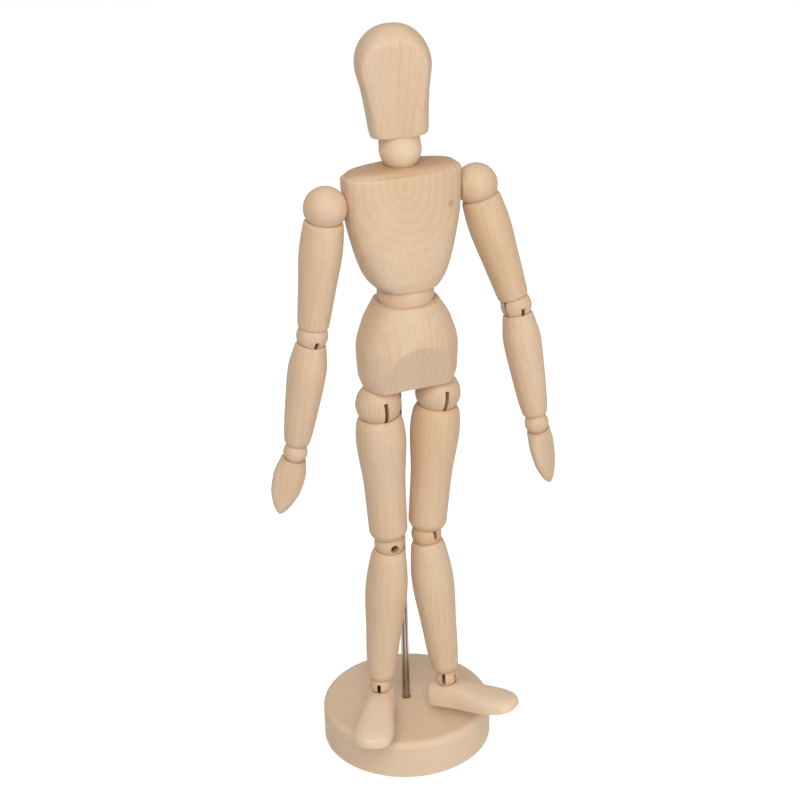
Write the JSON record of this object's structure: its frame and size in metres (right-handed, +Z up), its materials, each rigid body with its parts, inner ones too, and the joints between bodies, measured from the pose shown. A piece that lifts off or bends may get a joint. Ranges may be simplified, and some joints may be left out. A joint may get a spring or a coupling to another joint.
{
  "type": "jointed wooden artist's figure",
  "caption": "Jointed wooden artist's drawing figure with turned limbs on sprung balls, standing on a steel rod in a round wooden base.",
  "frame": {"origin": "middle of the base's flat underside", "axes": "+Z up along the stand rod, the figure faces -Y, +X is the figure's left side"},
  "size_m": [0.1129, 0.0808, 0.3084],
  "materials": {
    "wood": "satin",
    "steel": "polished"
  },
  "bodies": {
    "base": {"base": "wood", "stand_rod": "steel"},
    "pelvis": {"pelvis": "wood", "pelvis_pin": "steel"},
    "waist_ball": {"waist_ball": "wood", "waist_spring": "steel"},
    "chest": {"chest": "wood", "chest_pin": "steel"},
    "neck": {"neck": "wood", "neck_spring": "steel"},
    "head": {"head": "wood", "head_pin": "steel"},
    "right_shoulder_ball": {"right_shoulder_ball": "wood", "right_shoulder_spring": "steel"},
    "right_upper_arm": {"right_upper_arm": "wood", "right_upper_arm_pin": "steel"},
    "right_elbow_ball": {"right_elbow_ball": "wood", "right_elbow_spring": "steel"},
    "right_forearm": {"right_forearm": "wood", "right_forearm_pin": "steel"},
    "right_wrist_ball": {"right_wrist_ball": "wood", "right_wrist_spring": "steel"},
    "right_hand": {"right_hand": "wood", "right_hand_pin": "steel"},
    "left_shoulder_ball": {"left_shoulder_ball": "wood", "left_shoulder_spring": "steel"},
    "left_upper_arm": {"left_upper_arm": "wood", "left_upper_arm_pin": "steel"},
    "left_elbow_ball": {"left_elbow_ball": "wood", "left_elbow_spring": "steel"},
    "left_forearm": {"left_forearm": "wood", "left_forearm_pin": "steel"},
    "left_wrist_ball": {"left_wrist_ball": "wood", "left_wrist_spring": "steel"},
    "left_hand": {"left_hand": "wood", "left_hand_pin": "steel"},
    "right_hip_ball": {"right_hip_ball": "wood", "right_hip_spring": "steel"},
    "right_thigh": {"right_thigh": "wood", "right_thigh_pin": "steel"},
    "right_knee_ball": {"right_knee_ball": "wood", "right_knee_spring": "steel"},
    "right_shin": {"right_shin": "wood", "right_shin_pin": "steel"},
    "right_ankle_ball": {"right_ankle_ball": "wood", "right_ankle_spring": "steel"},
    "right_foot": {"right_foot": "wood", "right_foot_pin": "steel"},
    "left_hip_ball": {"left_hip_ball": "wood", "left_hip_spring": "steel"},
    "left_thigh": {"left_thigh": "wood", "left_thigh_pin": "steel"},
    "left_knee_ball": {"left_knee_ball": "wood", "left_knee_spring": "steel"},
    "left_shin": {"left_shin": "wood", "left_shin_pin": "steel"},
    "left_ankle_ball": {"left_ankle_ball": "wood", "left_ankle_spring": "steel"},
    "left_foot": {"left_foot": "wood", "left_foot_pin": "steel"}
  },
  "joints": [
    {"name": "figure_turn", "type": "hinge", "parent": "base", "child": "pelvis", "pos_m": [0, 0, 0], "axis": [0, 0, 1], "continuous": true},
    {"name": "waist_lean", "type": "hinge", "parent": "pelvis", "child": "waist_ball", "pos_m": [0, -0.0108, 0.20679], "axis": [1, 0, 0], "range_deg": [-14, 14], "deforming": ["waist_spring"]},
    {"name": "chest_turn", "type": "hinge", "parent": "waist_ball", "child": "chest", "pos_m": [0, -0.0108, 0.20679], "axis": [0, 0.0262, 0.9997], "range_deg": [-60, 60], "deforming": ["waist_spring"]},
    {"name": "neck_nod", "type": "hinge", "parent": "chest", "child": "neck", "pos_m": [0, -0.00935, 0.26222], "axis": [1, 0, 0], "range_deg": [-14, 14], "deforming": ["neck_spring"]},
    {"name": "head_turn", "type": "hinge", "parent": "neck", "child": "head", "pos_m": [-0.00034, -0.00918, 0.26861], "axis": [-0.0523, 0.0261, 0.9983], "range_deg": [-80, 80], "deforming": ["neck_spring"]},
    {"name": "right_arm_swing", "type": "hinge", "parent": "chest", "child": "right_shoulder_ball", "pos_m": [-0.03057, -0.00982, 0.24407], "axis": [1, 0, 0], "range_deg": [-100, 100], "deforming": ["right_shoulder_spring"]},
    {"name": "right_arm_raise", "type": "hinge", "parent": "right_shoulder_ball", "child": "right_upper_arm", "pos_m": [-0.03057, -0.00982, 0.24407], "axis": [0, 0.9976, 0.0698], "range_deg": [-5, 70], "deforming": ["right_shoulder_spring"]},
    {"name": "right_elbow_turn", "type": "hinge", "parent": "right_upper_arm", "child": "right_elbow_ball", "pos_m": [-0.03678, -0.00629, 0.19357], "axis": [0.1219, -0.0692, 0.9901], "range_deg": [-90, 90], "deforming": ["right_elbow_spring"]},
    {"name": "right_elbow_bend", "type": "hinge", "parent": "right_elbow_ball", "child": "right_forearm", "pos_m": [-0.03678, -0.00629, 0.19357], "axis": [-0.9866, -0.0114, 0.1629], "range_deg": [0, 60], "deforming": ["right_elbow_spring"]},
    {"name": "right_wrist_turn", "type": "hinge", "parent": "right_forearm", "child": "right_wrist_ball", "pos_m": [-0.04487, -0.00289, 0.14486], "axis": [0.1633, -0.0688, 0.9842], "range_deg": [-90, 90], "deforming": ["right_wrist_spring"]},
    {"name": "right_wrist_bend", "type": "hinge", "parent": "right_wrist_ball", "child": "right_hand", "pos_m": [-0.04487, -0.00289, 0.14486], "axis": [-0.9449, 0.1888, 0.2674], "range_deg": [-60, 40], "deforming": ["right_wrist_spring"]},
    {"name": "left_arm_swing", "type": "hinge", "parent": "chest", "child": "left_shoulder_ball", "pos_m": [0.03057, -0.00982, 0.24407], "axis": [1, 0, 0], "range_deg": [-100, 100], "deforming": ["left_shoulder_spring"]},
    {"name": "left_arm_raise", "type": "hinge", "parent": "left_shoulder_ball", "child": "left_upper_arm", "pos_m": [0.03057, -0.00982, 0.24407], "axis": [0, -0.989, 0.1478], "range_deg": [-5, 70], "deforming": ["left_shoulder_spring"]},
    {"name": "left_elbow_turn", "type": "hinge", "parent": "left_upper_arm", "child": "left_elbow_ball", "pos_m": [0.04377, -0.0171, 0.19535], "axis": [-0.2588, 0.1428, 0.9553], "range_deg": [-90, 90], "deforming": ["left_elbow_spring"]},
    {"name": "left_elbow_bend", "type": "hinge", "parent": "left_elbow_ball", "child": "left_forearm", "pos_m": [0.04377, -0.0171, 0.19535], "axis": [-0.9938, -0.0165, -0.1102], "range_deg": [0, 60], "deforming": ["left_elbow_spring"]},
    {"name": "left_wrist_turn", "type": "hinge", "parent": "left_forearm", "child": "left_wrist_ball", "pos_m": [0.04928, -0.02438, 0.14669], "axis": [-0.1115, 0.1469, 0.9829], "range_deg": [-90, 90], "deforming": ["left_wrist_spring"]},
    {"name": "left_wrist_bend", "type": "hinge", "parent": "left_wrist_ball", "child": "left_hand", "pos_m": [0.04928, -0.02438, 0.14669], "axis": [-0.8534, -0.4946, -0.1645], "range_deg": [-60, 40], "deforming": ["left_wrist_spring"]},
    {"name": "right_leg_spread", "type": "hinge", "parent": "pelvis", "child": "right_hip_ball", "pos_m": [-0.0127, -0.0108, 0.16202], "axis": [0, 1, 0], "range_deg": [0, 40], "deforming": ["right_hip_spring"]},
    {"name": "right_leg_swing", "type": "hinge", "parent": "right_hip_ball", "child": "right_thigh", "pos_m": [-0.0127, -0.0108, 0.16202], "axis": [-0.9993, 0, -0.0384], "range_deg": [-20, 70], "deforming": ["right_hip_spring"]},
    {"name": "right_knee_turn", "type": "hinge", "parent": "right_thigh", "child": "right_knee_ball", "pos_m": [-0.01034, -0.01187, 0.10057], "axis": [-0.0384, 0.0175, 0.9991], "range_deg": [-40, 40], "deforming": ["right_knee_spring"]},
    {"name": "right_knee_bend", "type": "hinge", "parent": "right_knee_ball", "child": "right_shin", "pos_m": [-0.01034, -0.01187, 0.10057], "axis": [0.9971, -0.002, -0.0767], "range_deg": [0, 50], "deforming": ["right_knee_spring"]},
    {"name": "right_ankle_turn", "type": "hinge", "parent": "right_shin", "child": "right_ankle_ball", "pos_m": [-0.01551, -0.00951, 0.03331], "axis": [0.0766, -0.035, 0.9964], "range_deg": [-40, 40], "deforming": ["right_ankle_spring"]},
    {"name": "right_foot_tilt", "type": "hinge", "parent": "right_ankle_ball", "child": "right_foot", "pos_m": [-0.01551, -0.00951, 0.03331], "axis": [-0.8645, 0.5026, 0.0054], "range_deg": [-5, 25], "deforming": ["right_ankle_spring"]},
    {"name": "left_leg_spread", "type": "hinge", "parent": "pelvis", "child": "left_hip_ball", "pos_m": [0.0127, -0.0108, 0.16202], "axis": [0, -1, 0], "range_deg": [0, 40], "deforming": ["left_hip_spring"]},
    {"name": "left_leg_swing", "type": "hinge", "parent": "left_hip_ball", "child": "left_thigh", "pos_m": [0.0127, -0.0108, 0.16202], "axis": [-0.994, 0, 0.1097], "range_deg": [-4, 70], "deforming": ["left_hip_spring"]},
    {"name": "left_knee_turn", "type": "hinge", "parent": "left_thigh", "child": "left_knee_ball", "pos_m": [0.00595, -0.01187, 0.1009], "axis": [0.1097, 0.0175, 0.9938], "range_deg": [-40, 40], "deforming": ["left_knee_spring"]},
    {"name": "left_knee_bend", "type": "hinge", "parent": "left_knee_ball", "child": "left_shin", "pos_m": [0.00595, -0.01187, 0.1009], "axis": [0.9127, -0.3954, 0.1033], "range_deg": [0, 50], "deforming": ["left_knee_spring"]},
    {"name": "left_ankle_turn", "type": "hinge", "parent": "left_shin", "child": "left_ankle_ball", "pos_m": [0.01128, -0.01711, 0.03381], "axis": [-0.0789, 0.0776, 0.9939], "range_deg": [-40, 40], "deforming": ["left_ankle_spring"]},
    {"name": "left_foot_tilt", "type": "hinge", "parent": "left_ankle_ball", "child": "left_foot", "pos_m": [0.01128, -0.01711, 0.03381], "axis": [-0.8007, -0.5988, 0.0183], "range_deg": [-5, 25], "deforming": ["left_ankle_spring"]}
  ]
}
